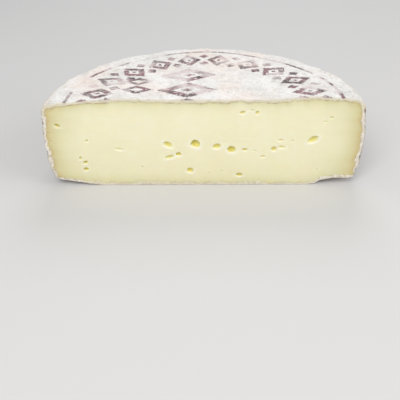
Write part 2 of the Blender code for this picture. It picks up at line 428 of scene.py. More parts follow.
# Size and reach of each noise along the cut's edge, with its seed
FRAYS = ((3.4 * MM, 0.55 * MM, 64), (1.7 * MM, 0.42 * MM, 65), (0.8 * MM, 0.40 * MM, 66))
FRAY_ON_FLATS = 0.25

normals[loop, 1] = 0.0
normals[loop] /= np.maximum(np.linalg.norm(normals[loop], axis=1), 1e-9)[:, None]
amount = (RISE_ON_FLATS + (1.0 - RISE_ON_FLATS) * sideness) * (1.0 - resting)
points = points + normals * ((rise - MEAN_RISE) * amount)[:, None]
fray = -FRAY_BACK
for size, reach, seed in FRAYS:
    fray = fray + reach * tilted_noise(points[loop], size, seed)
fray = fray * (FRAY_ON_FLATS + (1.0 - FRAY_ON_FLATS) * sideness[loop]) * (1.0 - resting[loop])
points[loop] += normals[loop] * fray[:, None]
print("the cut's edge frays by", round(float(np.ptp(fray)) / MM, 2), "mm")

# %% [markdown]
# ## The rind's section and the tray
# Where the knife went through, the rind is a pale, dry, crumbly line, and just inside it small gaps open. The
# line could be painted on the cut face. It is folded in from the skin's own edge instead, so its outer side
# keeps the crust's frayed outline, and its inner side is the very border that the paste fills.

# %% Inner edge of the rind
FLAT_THICKNESS, END_THICKNESS = 2.0 * MM, 2.5 * MM
EDGE_CALM = 6


def smoothed(line, rounds):
    """A closed line with each point moved to the mean of itself and its two neighbours, several times."""
    for _ in range(rounds):
        line = (np.roll(line, 1, axis=0) + line + np.roll(line, -1, axis=0)) / 3.0
    return line


def inward(line):
    """The direction into the cut face at each point of its closed outline: its run turned by 90 degrees."""
    run = np.roll(line, -1, axis=0) - np.roll(line, 1, axis=0)
    turned = np.column_stack([run[:, 2], 0 * run[:, 1], -run[:, 0]])
    turned /= np.maximum(np.linalg.norm(turned, axis=1), 1e-12)[:, None]
    middle = line.mean(axis=0)
    return turned * np.sign(np.mean(np.sum(turned * (middle - line), axis=1)))


calm_edge = smoothed(coarse_points[loop], EDGE_CALM)
into = inward(calm_edge)
thickness = FLAT_THICKNESS + (END_THICKNESS - FLAT_THICKNESS) * sideness[loop]
thickness *= 1.0 + 0.40 * tilted_noise(calm_edge, 5 * MM, 71) + 0.34 * tilted_noise(calm_edge, 2 * MM, 72)
inner_edge = calm_edge + into * thickness[:, None]
inner_edge[:, 1] = CUT_Y
thinnest, thickest = thickness.min() / MM, thickness.max() / MM
print("the rind's section is", round(float(thinnest), 1), "to", round(float(thickest), 1), "mm wide")

# %% Section band and tray
BAND_STEPS = 4
BAND_SINK = 0.10 * MM
BAND_BUMP_SIZE, BAND_BUMP_HEIGHT = 1.5 * MM, 0.22 * MM
SECTION_AT_EDGE = 0.6
# How deep behind the cut each row of the tray lies, and how far it is drawn in
TRAY_ROWS = ((1.5 * MM, 0.0), (8.5 * MM, 0.2 * MM))

shell.points = points
rows = [loop]
section = np.zeros(len(points))
section[loop] = SECTION_AT_EDGE
for step in range(1, BAND_STEPS + 1):
    share = step / BAND_STEPS
    row = points[loop] * (1 - share) + inner_edge * share
    rough = np.clip(tilted_noise(row, BAND_BUMP_SIZE, 80 + step), -0.4, 1.0)
    row[:, 1] = CUT_Y + BAND_SINK + BAND_BUMP_HEIGHT * rough * (1.0 if step < BAND_STEPS else 0.4)
    rows.append(shell.add(row))
    section = np.append(section, np.full(len(row), SECTION_AT_EDGE + (1.0 - SECTION_AT_EDGE) * share))
for depth, draw in TRAY_ROWS:
    row = inner_edge + into * draw
    row[:, 1] = CUT_Y + depth
    rows.append(shell.add(row))
shell.join(np.array(rows), closed=True)
print("band and tray of", len(rows), "rows of", len(loop), "points")

# %% The rind as one piece
SKIN_MARGIN = 0.01 * MM

new = len(shell.points) - len(points)
# Small gaps along the section band and the tray, which get painted shade
shaded_gaps = np.clip(tilted_noise(shell.points[-new:], BAND_BUMP_SIZE, 81) * 1.4 - 0.2, 0, 1)
rind_values = {"pit_shade": np.append(pit_shade, shaded_gaps)}
for name, values in (("crumb", crumb), ("sideness", sideness), ("underside", underside)):
    rind_values[name] = np.append(values, np.zeros(new))
rind_values["section"] = np.append(section, np.ones(len(shell.points) - len(section)))
# The dressed rind stays just inside the solid's box, and its base stays on the floor
low, high = (np.array(corner) for corner in solid_box)
inside_box = np.clip(shell.points, low + SKIN_MARGIN, high - SKIN_MARGIN)
inside_box[:, 2] = np.clip(shell.points[:, 2], 0.0, high[2] - SKIN_MARGIN)
rind = piece_from("rind", inside_box, shell.faces, [rows[-1]], rind_values)
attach(rind, "root")
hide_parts("half_wheel")

# %% [markdown]
# ## The cut paste
# The paste is smooth where the knife passed, and opens into small eyes. Cutting each eye with a Boolean would
# leave hard rims. The face is a fine grid instead, a patch between the rind's four inner borders, and each
# eye is a hollow in it: the depth is the height of half a flattened ball, and its rim stands up a little, as
# soft paste does beside a hole. The slab is 8 mm thick and sits in the rind's tray.

# %% Eyes
# Each eye's x, z, width and height in millimetres, tilt in degrees, and depth as a share of the height
EYES = (
    (-5.3, 31.1, 5.4, 5.6, 0, 0.62),
    (17.7, 26.7, 5.8, 5.2, -12, 0.60),
    (-22.9, 30.5, 6.2, 4.0, -35, 0.45),
    (8.5, 29.0, 4.8, 3.6, 10, 0.50),
    (69.0, 33.7, 6.8, 3.7, 30, 0.42),
    (44.7, 26.8, 3.9, 3.3, 15, 0.50),
    (49.5, 28.1, 5.0, 2.2, -4, 0.45),
    (-22.4, 21.1, 5.8, 2.9, 20, 0.45),
    (-16.2, 23.4, 3.8, 2.7, 8, 0.85),
    (-8.9, 11.2, 4.6, 3.3, 0, 0.60),
    (23.2, 7.6, 4.0, 2.5, -6, 0.90),
    (26.0, 26.5, 3.6, 2.1, 0, 0.75),
    (38.0, 21.3, 3.2, 1.7, 5, 0.55),
    (-91.1, 44.2, 3.4, 2.2, -20, 0.85),
    (-79.8, 20.6, 1.6, 2.8, 0, 0.50),
    (-76.8, 17.6, 3.4, 2.3, 25, 0.80),
    (-77.1, 12.3, 2.8, 2.4, 0, 0.90),
    (-54.3, 27.2, 5.2, 1.8, -10, 0.35),
    (48.6, 33.2, 3.4, 1.4, 0, 0.70),
    (23.9, 52.4, 3.6, 2.2, 12, 0.60),
    (29.6, 54.0, 2.8, 1.3, 0, 0.55),
    (33.0, 52.2, 2.5, 2.2, 0, 0.60),
    (78.7, 48.7, 2.4, 1.3, 0, 0.70),
    (75.0, 45.9, 2.0, 1.0, 0, 0.65),
    (-74.0, 33.3, 2.0, 1.7, 0, 0.70),
    (56.0, 33.0, 1.5, 1.2, 0, 0.70),
    (-40.2, 14.0, 1.4, 1.2, 0, 0.75),
    (11.5, 10.8, 1.5, 1.1, 0, 0.75),
    (73.3, 11.9, 1.6, 1.1, 0, 0.70),
    (2.6, 9.6, 1.2, 0.9, 0, 0.70),
    (32.5, 25.6, 1.6, 1.1, 0, 0.70),
    (-97.0, 33.0, 1.2, 1.0, 0, 0.65),
)
EYE_WOBBLE, EYE_FRAY, EYE_FRAY_SIZE = 0.20, 0.07, 0.6 * MM
RIM_HEIGHT, RIM_AT, RIM_SPREAD = 0.10 * MM, 1.22, 0.24
# Where the painted highlight round an eye peaks and how wide it is, in half widths
HIGHLIGHT_AT, HIGHLIGHT_SPREAD = 1.35, 0.38


def hollows(points):
    """How far each point of the face sinks: for every eye, depth times the root of 1 - d^2 inside its oval,
    where d is the distance from its middle in half widths. Then a soft rim just outside it, mostly below, and
    a painted highlight on the paste round it, mostly below, where light from above would catch its lower lip."""
    sink = np.zeros(len(points))
    rim = np.zeros(len(points))
    lip_highlight = np.zeros(len(points))
    for index, (x, z, width, height, tilt, deep) in enumerate(EYES):
        turn = math.radians(tilt)
        dx, dz = points[:, 0] - x * MM, points[:, 2] - z * MM
        near = np.hypot(dx, dz) < 1.3 * width * MM + MM
        dx, dz = dx[near], dz[near]
        across = (dx * math.cos(turn) + dz * math.sin(turn)) / (width / 2 * MM)
        up = (-dx * math.sin(turn) + dz * math.cos(turn)) / (height / 2 * MM)
        wobble = EYE_WOBBLE * noise(points[near] + 0.01 * index, 0.55 * width * MM, 41)
        fine = EYE_FRAY * noise(points[near], EYE_FRAY_SIZE, 42)
        d = np.hypot(across, up) * (1.0 + wobble + fine)
        bowl = deep * height * MM * np.sqrt(np.clip(1.0 - d**2, 0.0, 1.0))
        sink[near] = np.maximum(sink[near], bowl)
        below = 0.6 - 0.4 * np.clip(up / np.maximum(d, 0.1), -1.0, 1.0)
        swollen = RIM_HEIGHT * np.exp(-(((d - RIM_AT) / RIM_SPREAD) ** 2)) * below * min(1.0, height / 3.5)
        rim[near] = np.maximum(rim[near], swollen)
        # A painted highlight just outside the eye, mostly below, where its lower lip would catch the light
        # from above
        pale = np.exp(-(((d - HIGHLIGHT_AT) / HIGHLIGHT_SPREAD) ** 2)) * (below - 0.2) / 0.8 * min(1.0, height / 3.0)
        lip_highlight[near] = np.maximum(lip_highlight[near], pale)
    outside = sink < 0.05 * MM
    return sink, rim * outside, lip_highlight * outside


print(len(EYES), "eyes, the largest", max(eye[2] for eye in EYES), "mm wide")

# %% Face of the paste
FACE_ACROSS = 540
FACE_HIGH = 160
SLAB_DEPTH = 8.0 * MM
FACE_SINK, FACE_LEAST_SINK = 0.14 * MM, 0.02 * MM
TUCK = 0.25 * MM
DRAG_SIZE, DRAG_HEIGHT = 1.6 * MM, 0.03 * MM
DRAG_STRETCH = np.array([0.12, 1.0, 1.0])
WAVE_SIZE, WAVE_HEIGHT = 22 * MM, 0.05 * MM


def face_borders():
    """The paste's outline as four lines, each split at the middle of a rounded corner, where radius plus or
    minus height is greatest, and tucked a little under the rind."""
    border = inner_edge - into * TUCK
    low_row = np.argmax(profile[:, 0] - profile[:, 1])
    high_row = np.argmax(profile[:, 0] + profile[:, 1])
    count, inner = len(profile), PATCH_ACROSS - 1
    left = border[low_row : high_row + 1]
    top = border[high_row : 2 * count + inner - high_row]
    right = border[2 * count + inner - 1 - high_row : 2 * count + inner - low_row]
    base = np.concatenate([border[2 * count + inner - 1 - low_row :], border[: low_row + 1]])
    lying = [spaced(line, FACE_ACROSS) for line in (base[::-1], top)]
    upright = [spaced(line, FACE_HIGH) for line in (left, right[::-1])]
    return lying + upright


base_line, top_line, left_line, right_line = face_borders()
face = filled_patch(base_line, top_line, left_line, right_line).reshape(-1, 3)
sink, rim, lip_highlight = hollows(face)
drag = DRAG_HEIGHT * noise(face * DRAG_STRETCH, DRAG_SIZE, 51)
wave = WAVE_HEIGHT * noise(face, WAVE_SIZE, 52)
grid_shape = (FACE_HIGH + 1, FACE_ACROSS + 1)
off_edge = np.ones(grid_shape)
off_edge[[0, -1], :] = 0.0
off_edge[:, [0, -1]] = 0.0
inside = FACE_SINK + sink - rim + (drag + wave) * off_edge.ravel()
face[:, 1] = CUT_Y + np.maximum(inside, FACE_LEAST_SINK)
slab = Shell()
grid = slab.add(face.reshape(*grid_shape, 3))
slab.join(grid)
rim_loop = np.concatenate([grid[0, :-1], grid[:-1, -1], grid[-1, :0:-1], grid[:0:-1, 0]])
back = slab.points[rim_loop].copy()
back[:, 1] = CUT_Y + SLAB_DEPTH
back_loop = slab.add(back)
slab.join(np.array([rim_loop, back_loop]), closed=True)
width, tall = np.ptp(face[:, 0]), np.ptp(face[:, 2])
print("the face is", round(float(width) / MM, 1), "by", round(float(tall) / MM, 1), "mm")

# %% [markdown]
# ## How the paste darkens towards the rind
# The paste dries and ripens from outside, so it turns from ivory to a straw tan near the rind: a wide band at
# the two ends, and a narrow one under the top. Painting it by hand would be one way. The distance to each
# border, kept as an attribute of every point, does it by rule.

# %% Ripening and eye attributes
END_REACH, TOP_REACH, BASE_REACH, LOW_REACH = 8.5 * MM, 2.8 * MM, 3.0 * MM, 20 * MM
SHALLOW, DEEP = 0.10 * MM, 1.6 * MM


def fade(distance, reach):
    """1 at the border, and down to 1/e at the reach."""
    return np.exp(-np.maximum(distance, 0.0) / reach)


across = np.tile(np.linspace(0.0, 1.0, FACE_ACROSS + 1), FACE_HIGH + 1)
upward = np.repeat(np.linspace(0.0, 1.0, FACE_HIGH + 1), FACE_ACROSS + 1)
uneven_reach = 1.0 + 0.35 * noise(face, 14 * MM, 91)
ends = 0.98 * fade(np.minimum(across, 1.0 - across) * width, END_REACH * uneven_reach)
patchy = 0.62 + 0.30 * noise(face, 7 * MM, 92)
under_top = patchy * fade((1.0 - upward) * tall, TOP_REACH * uneven_reach)
over_base = 0.50 * fade(upward * tall, BASE_REACH * uneven_reach)
low_down = 0.20 * fade(upward * tall, LOW_REACH)
fresh = (1.0 - ends) * (1.0 - under_top) * (1.0 - over_base) * (1.0 - low_down)
ripe = np.clip(1.0 - fresh, 0.0, 1.0)
behind = len(slab.points) - len(face)
paste_values = {"ripe": np.append(ripe, np.ones(behind))}
# The eyes' depth share, and the painted highlight round them
for name, values in (("eye", smooth_step(sink, SHALLOW, DEEP)), ("lip_highlight", lip_highlight)):
    paste_values[name] = np.append(values, np.zeros(behind))
paste = piece_from("paste", slab.points, slab.faces, [back_loop], paste_values)
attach(paste, "root")
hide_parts("half_wheel")

# %% [markdown]
# ## Finishes
# Both finishes are procedural: they are built from noise on Object coordinates and from the attributes above,
# so they need no picture and fit at any scale. Short helpers keep the node trees readable. The one effect
# that rind and paste share, a cloudy change of tone at two scales, is a node group.

# %% Helpers for node trees
def add(tree, kind, inputs=None, out=0, **settings):
    """Add one shader node. Each input is a plain value or another node's output. It gives an output."""
    made = tree.nodes.new("ShaderNode" + kind)
    for name, value in settings.items():
        setattr(made, name, value)
    for key, value in (inputs or {}).items():
        if isinstance(value, bpy.types.NodeSocket):
            tree.links.new(value, made.inputs[key])
        else:
            made.inputs[key].default_value = value
    return made.outputs[out]


def calc(tree, operation, *values):
    """One Math node."""
    return add(tree, "Math", dict(enumerate(values)), operation=operation)


def times(tree, first, *others):
    """All the values multiplied with each other."""
    for other in others:
        first = calc(tree, "MULTIPLY", first, other)
    return first


def ramp(tree, value, low, high, start=0.0, end=1.0):
    """A soft S from start to end while the value goes from low to high."""
    inputs = {"Value": value, "From Min": low, "From Max": high, "To Min": start, "To Max": end}
    return add(tree, "MapRange", inputs, interpolation_type="SMOOTHSTEP")


def rise_and_fall(tree, value, start, full, fading, end):
    """0 at the start, 1 from full to fading, and 0 again at the end."""
    return times(tree, ramp(tree, value, start, full), ramp(tree, value, end, fading))


def mixed(tree, factor, first, second):
    """Two colours mixed by a factor."""
    made = tree.nodes.new("ShaderNodeMix")
    made.data_type = "RGBA"
    for index, value in ((0, factor), (6, first), (7, second)):
        if isinstance(value, bpy.types.NodeSocket):
            tree.links.new(value, made.inputs[index])
        else:
            made.inputs[index].default_value = value
    return made.outputs[2]


def grain(tree, place, size, detail=2.0, rough=0.5, shift=0.0):
    """Noise from 0 to 1 whose bumps are about the given size in metres."""
    inputs = {"Vector": place, "Scale": 1.0 / size, "Detail": detail, "Roughness": rough, "W": shift}
    return add(tree, "TexNoise", inputs, noise_dimensions="4D")


def patches(tree, place, size, shift, low, high, start=0.0, end=1.0, detail=3.0, rough=0.6):
    """Patches of about the given size: from start to end while that noise goes from low to high."""
    return ramp(tree, grain(tree, place, size, detail, rough, shift), low, high, start, end)


def tinted(tree, colour, tint, *shares):
    """A colour drawn towards a tint by the product of the shares."""
    return mixed(tree, times(tree, *shares), colour, tint)


def kept(tree, name):
    """One of the mesh's own point attributes."""
    return add(tree, "Attribute", attribute_name=name, out="Fac")


def new_material(name):
    """A material with a Principled shader, and its tree."""
    material = bpy.data.materials.new(name)
    material.use_nodes = True
    return material, material.node_tree, material.node_tree.nodes["Principled BSDF"]


# %% Shared clouding group
def clouding_group():
    """Light and dark clouds: coarse noise and fine noise, mixed by their shares, give a factor from 0 to 1
    that tints a base colour towards a second one."""
    group = bpy.data.node_groups.new("clouding", "ShaderNodeTree")
    for name, kind in (("Base", "Color"), ("Cloud", "Color"), ("Place", "Vector"), ("Coarse size", "Float"),
                       ("Fine size", "Float"), ("Fine share", "Float"), ("Strength", "Float")):
        group.interface.new_socket(name=name, in_out="INPUT", socket_type="NodeSocket" + kind)
    group.interface.new_socket(name="Colour", in_out="OUTPUT", socket_type="NodeSocketColor")
    group.interface.new_socket(name="Cloudiness", in_out="OUTPUT", socket_type="NodeSocketFloat")
    source = group.nodes.new("NodeGroupInput")
    result = group.nodes.new("NodeGroupOutput")
    values = source.outputs
    clouds = []
    for size, low, high in (("Coarse size", 0.34, 0.66), ("Fine size", 0.36, 0.64)):
        inputs = {"Vector": values["Place"], "Detail": 3.0, "Roughness": 0.6}
        inputs["Scale"] = calc(group, "DIVIDE", 1.0, values[size])
        clouds.append(ramp(group, add(group, "TexNoise", inputs), low, high))
    coarse, fine = clouds
    both = add(group, "Mix", {0: values["Fine share"], 2: coarse, 3: fine}, data_type="FLOAT")
    cloudiness = calc(group, "MULTIPLY", both, values["Strength"])
    group.links.new(mixed(group, cloudiness, values["Base"], values["Cloud"]), result.inputs["Colour"])
    group.links.new(cloudiness, result.inputs["Cloudiness"])
    return group


clouding = clouding_group()


def clouded(tree, place, base, cloud, coarse, fine, share, strength):
    """The shared group placed in a material with its own values."""
    inputs = {"Base": base, "Cloud": cloud, "Place": place, "Coarse size": coarse, "Fine size": fine,
              "Fine share": share, "Strength": strength}
    return add(tree, "Group", inputs, out="Colour", node_tree=clouding)


print("shared group:", clouding.name)

# %% [markdown]
# ## The worn stamp
# Wheels like this carry a large inked stamp that mould has grown over. A plain ornament stands here: a thin
# ring, a belt of lozenges and dots inside it, and two rows of lozenges across the middle. It could be drawn
# on a picture and projected. As node maths it stays sharp: each motif is a distance in millimetres,
# |a| / half width + |b| / half height, which is below 1 inside a lozenge.

# %% Helpers for the stamp
LOZENGE_SOFT, HOLLOW_SOFT = 0.04, 0.05


def lozenge(tree, a, b, half_a, half_b, hollow_from=0.0, dot=0.0):
    """1 inside the lozenge |a|/half_a + |b|/half_b < 1, less its hollow middle, plus a dot in that middle."""
    reach_a = calc(tree, "DIVIDE", calc(tree, "ABSOLUTE", a), half_a)
    reach_b = calc(tree, "DIVIDE", calc(tree, "ABSOLUTE", b), half_b)
    reach = calc(tree, "ADD", reach_a, reach_b)
    body = ramp(tree, reach, 1.0 + LOZENGE_SOFT, 1.0 - LOZENGE_SOFT)
    if hollow_from:
        body = times(tree, body, ramp(tree, reach, hollow_from - HOLLOW_SOFT, hollow_from + HOLLOW_SOFT))
        body = calc(tree, "MAXIMUM", body, ramp(tree, reach, dot + HOLLOW_SOFT, dot - HOLLOW_SOFT))
    return body


def between(tree, value, low, high, soft=0.4):
    """1 while the value is between low and high, with soft ends."""
    return rise_and_fall(tree, value, low - soft, low + soft, high - soft, high + soft)


def repeated(tree, value, period, start=0.0):
    """The value wrapped into one period, from minus half to plus half of it."""
    moved = calc(tree, "DIVIDE", calc(tree, "SUBTRACT", value, start), period)
    return times(tree, calc(tree, "SUBTRACT", calc(tree, "FRACT", moved), 0.5), period)


print("a lozenge's edge is soft over", 2 * LOZENGE_SOFT, "of its half width")

# %% Stamp mask
# All of the stamp's sizes are in millimetres, about the wheel's middle
RING_FROM, RING_TO, RING_SOFT = 83.2, 85.6, 0.3
BELT_RADIUS, BELT_COUNT = 66.5, 20
BELT_HALF_WIDTH, BELT_HALF_DEPTH, BELT_HOLLOW, BELT_DOT = 8.4, 11.6, 0.46, 0.17
SPOT_OFFSET, SPOT_HALF_WIDTH, SPOT_HALF_DEPTH = 7.4, 3.4, 4.2
BIG_LEFT, BIG_PERIOD, BIG_START = 10.0, 23.0, 3.0
BIG_HALF_WIDTH, BIG_HALF_DEPTH, BIG_HOLLOW, BIG_DOT = 19.0, 11.0, 0.52, 0.22
BIG_FADE_FROM, BIG_FADE_TO = 50.0, 53.0
SMALL_LEFT, SMALL_PERIOD, SMALL_START = 42.0, 14.0, 8.0
SMALL_HALF_WIDTH, SMALL_HALF_DEPTH, SMALL_HOLLOW = 10.5, 6.6, 0.44
SMALL_FROM, SMALL_TO = 8.0, 36.0


def stamp_group():
    """The whole ornament. Scatter, in metres, is how far a noise throws its edges about, so that a small
    value gives the ink and a large one its faint smear."""
    tree = bpy.data.node_groups.new("stamp", "ShaderNodeTree")
    tree.interface.new_socket(name="Place", in_out="INPUT", socket_type="NodeSocketVector")
    tree.interface.new_socket(name="Scatter", in_out="INPUT", socket_type="NodeSocketFloat")
    tree.interface.new_socket(name="Mask", in_out="OUTPUT", socket_type="NodeSocketFloat")
    given = tree.nodes.new("NodeGroupInput").outputs
    place = given["Place"]
    ragged = add(tree, "TexNoise", {"Vector": place, "Scale": 900.0, "Detail": 2.0}, out="Color")
    jitter = add(tree, "VectorMath", {0: ragged, 1: (0.5, 0.5, 0.5)}, operation="SUBTRACT")
    jitter = add(tree, "VectorMath", {0: jitter, "Scale": given["Scatter"]}, operation="SCALE")
    moved = add(tree, "VectorMath", {0: place, 1: jitter}, operation="ADD")
    parts = add(tree, "SeparateXYZ", {0: moved}, out="X").node
    x = times(tree, parts.outputs["X"], 1.0 / MM)
    y = times(tree, calc(tree, "SUBTRACT", parts.outputs["Y"], CUT_Y), 1.0 / MM)
    radius = calc(tree, "SQRT", calc(tree, "ADD", times(tree, x, x), times(tree, y, y)))
    angle = calc(tree, "ARCTAN2", y, x)
    ring = between(tree, radius, RING_FROM, RING_TO, RING_SOFT)
    ring = times(tree, ring, patches(tree, place, 22 * MM, 23.0, 0.42, 0.54, 0.08, detail=2.0, rough=0.5))
    from_belt = calc(tree, "SUBTRACT", radius, BELT_RADIUS)
    share = 2.0 * math.pi / BELT_COUNT
    arc = times(tree, repeated(tree, angle, share), radius)
    arc_between = times(tree, repeated(tree, angle, share, share / 2), radius)
    belt = lozenge(tree, arc, from_belt, BELT_HALF_WIDTH, BELT_HALF_DEPTH, BELT_HOLLOW, BELT_DOT)
    from_spots = calc(tree, "SUBTRACT", calc(tree, "ABSOLUTE", from_belt), SPOT_OFFSET)
    spots = lozenge(tree, arc_between, from_spots, SPOT_HALF_WIDTH, SPOT_HALF_DEPTH)
    big = lozenge(tree, calc(tree, "ADD", x, BIG_LEFT), repeated(tree, y, BIG_PERIOD, BIG_START),
                  BIG_HALF_WIDTH, BIG_HALF_DEPTH, BIG_HOLLOW, BIG_DOT)
    small = lozenge(tree, calc(tree, "ADD", x, SMALL_LEFT), repeated(tree, y, SMALL_PERIOD, SMALL_START),
                    SMALL_HALF_WIDTH, SMALL_HALF_DEPTH, SMALL_HOLLOW)
    big = times(tree, big, ramp(tree, radius, BIG_FADE_TO, BIG_FADE_FROM))
    small = times(tree, small, between(tree, y, SMALL_FROM, SMALL_TO))
    mask = ring
    for part in (belt, spots, big, small):
        mask = calc(tree, "MAXIMUM", mask, part)
    tree.links.new(mask, tree.nodes.new("NodeGroupOutput").inputs["Mask"])
    return tree


stamp = stamp_group()


def stamped(tree, place, scatter):
    """The stamp's mask with its edges thrown about by the given distance."""
    return add(tree, "Group", {"Place": place, "Scatter": scatter}, out="Mask", node_tree=stamp)


print("stamp group of", len(stamp.nodes), "nodes")

# %% [markdown]
# ## The rind's finish
# On top the mould is dense and nearly white, with grey-green and beige clouds. On the side the grey-brown
# crust shows through: painted shade darkens its cracks, pits and gaps, and the crumbs are dusted white. The
# section at the cut is pale beige. One long tree would be hard to follow, so each layer is a function of its
# own: it takes the place, or the colour so far, and gives back a colour.

# %% Bloom on the top and the base
BLOOM, BLOOM_SHADE = (0.87, 0.85, 0.83, 1), (0.64, 0.61, 0.56, 1)
GREEN_MOULD, GREY_MOULD = (0.47, 0.50, 0.42, 1), (0.49, 0.49, 0.47, 1)
BLUSH, SCUFF = (0.83, 0.67, 0.58, 1), (0.55, 0.42, 0.28, 1)


def bloom_colour(tree, place):
    """Nearly white mould with clouds, then green and grey flecks, rosy patches and brown scuffs."""
    colour = clouded(tree, place, BLOOM, BLOOM_SHADE, 14 * MM, 1.8 * MM, 0.5, 0.68)
    fleck = patches(tree, place, 3.5 * MM, 15.0, 0.50, 0.62)
    green = patches(tree, place, 26 * MM, 2.0, 0.48, 0.64)
    colour = tinted(tree, colour, GREEN_MOULD, green, fleck, 0.6)
    dust = patches(tree, place, 1.6 * MM, 20.0, 0.50, 0.60, rough=0.65)
    grey = patches(tree, place, 16 * MM, 21.0, 0.46, 0.62)
    colour = tinted(tree, colour, GREY_MOULD, dust, grey, 0.55)
    blush = patches(tree, place, 30 * MM, 5.0, 0.48, 0.68, detail=2.0, rough=0.5)
    colour = tinted(tree, colour, BLUSH, blush, 0.45)
    scuff = patches(tree, place, 6 * MM, 16.0, 0.61, 0.70, detail=4.0, rough=0.7)
    return tinted(tree, colour, SCUFF, scuff, 0.6)


print("bloom from", BLOOM[:3], "to", BLOOM_SHADE[:3])

# %% [markdown]
# The crust's crumbs are two sizes. The larger ones are in the mesh, with their share kept as an attribute.
# Finer ones would cost too many points, so a Voronoi texture packs them: its distance makes each a dome,
# and the colour of its cell gives each its own random value, which says how pale it is.

# %% Crust on the side
CRUST, CRUST_SHADE = (0.240, 0.143, 0.074, 1), (0.046, 0.025, 0.013, 1)
GREY_CRUST, RUST = (0.19, 0.157, 0.124, 1), (0.30, 0.150, 0.065, 1)
GAP_SHADE, CRUMB, SPECK = (0.016, 0.009, 0.005, 1), (0.62, 0.495, 0.355, 1), (0.92, 0.88, 0.81, 1)


def crumbled(tree, place, size):
    """Grains about the given size in metres: 1 over each one's middle and 0 in the gaps, and its own random
    value. The place is stirred by noise and pressed together upwards, so the grains are flat and ragged."""
    stir = add(tree, "TexNoise", {"Vector": place, "Scale": 0.8 / size, "Detail": 2.0}, out="Color")
    stir = add(tree, "VectorMath", {0: stir, "Scale": 1.8 * size}, operation="SCALE")
    moved = add(tree, "VectorMath", {0: place, 1: stir}, operation="ADD")
    moved = add(tree, "VectorMath", {0: moved, 1: GRAIN_PRESS}, operation="MULTIPLY")
    cells = add(tree, "TexVoronoi", {"Vector": moved, "Scale": 1.0 / size}).node
    dome = ramp(tree, cells.outputs["Distance"], 0.75, 0.25)
    return dome, add(tree, "SeparateColor", {0: cells.outputs["Color"]})


def crust_colour(tree, place, level, patchy, crumbs, random):
    """Brown clouds, grey and rust patches, painted shade in the gaps, then pale crumbs and white specks in
    drifts.
    """
    colour = clouded(tree, place, CRUST, CRUST_SHADE, 11 * MM, 2.4 * MM, 0.60, 1.0)
    grey = patches(tree, place, 24 * MM, 8.0, 0.46, 0.64, 0.0, 0.5, rough=0.55)
    colour = tinted(tree, colour, GREY_CRUST, grey)
    rust = rise_and_fall(tree, level, 49.0 * MM, 52.0 * MM, 53.5 * MM, 55.0 * MM)
    colour = tinted(tree, colour, RUST, rust, patchy)
    # Painted shade, nearly black, in the gaps between the crumbs and in the pits
    shaded_gaps = calc(tree, "ADD", kept(tree, "pit_shade"), calc(tree, "SUBTRACT", 1.0, crumbs))
    colour = tinted(tree, colour, GAP_SHADE, ramp(tree, shaded_gaps, 0.25, 1.1), 0.93)
    drift = patches(tree, place, 13 * MM, 3.0, 0.38, 0.62, 0.25, rough=0.55)
    pale = times(tree, crumbs, ramp(tree, random, 0.55, 0.80), drift)
    broken = patches(tree, place, 1.3 * MM, 18.0, 0.42, 0.60, 0.15, 0.90, rough=0.65)
    pale = calc(tree, "MAXIMUM", pale, times(tree, kept(tree, "crumb"), broken))
    colour = tinted(tree, colour, CRUMB, pale)
    specks = patches(tree, place, 1.5 * MM, 1.0, 0.59, 0.64, detail=4.0, rough=0.7)
    return tinted(tree, colour, SPECK, specks, drift)


print("crust from", CRUST[:3], "to", CRUST_SHADE[:3])

# %% [markdown]
# Bloom and crust meet a little below the rim, in a ragged border: cream mould above it, a thin rust line on
# it. The attribute that tells the side from the flats would draw it too evenly, so a height with noise added
# to it draws it. Beside the cut the bloom turns tan-beige and the crust paler.

# %% Where bloom and crust meet
CREAM, BRINK = (0.76, 0.63, 0.44, 1), (0.42, 0.205, 0.085, 1)
CUT_CREAM, PALE_BESIDE_CUT = (0.66, 0.59, 0.44, 1), (0.80, 0.76, 0.68, 1)
PIT_SHADE, SHELF_MARK = (0.34, 0.27, 0.21, 1), (0.40, 0.31, 0.22, 1)
BORDER_REACH = 8 * MM
FRINGE_FULL, FRINGE_ENDS = 0.4 * MM, 2.4 * MM


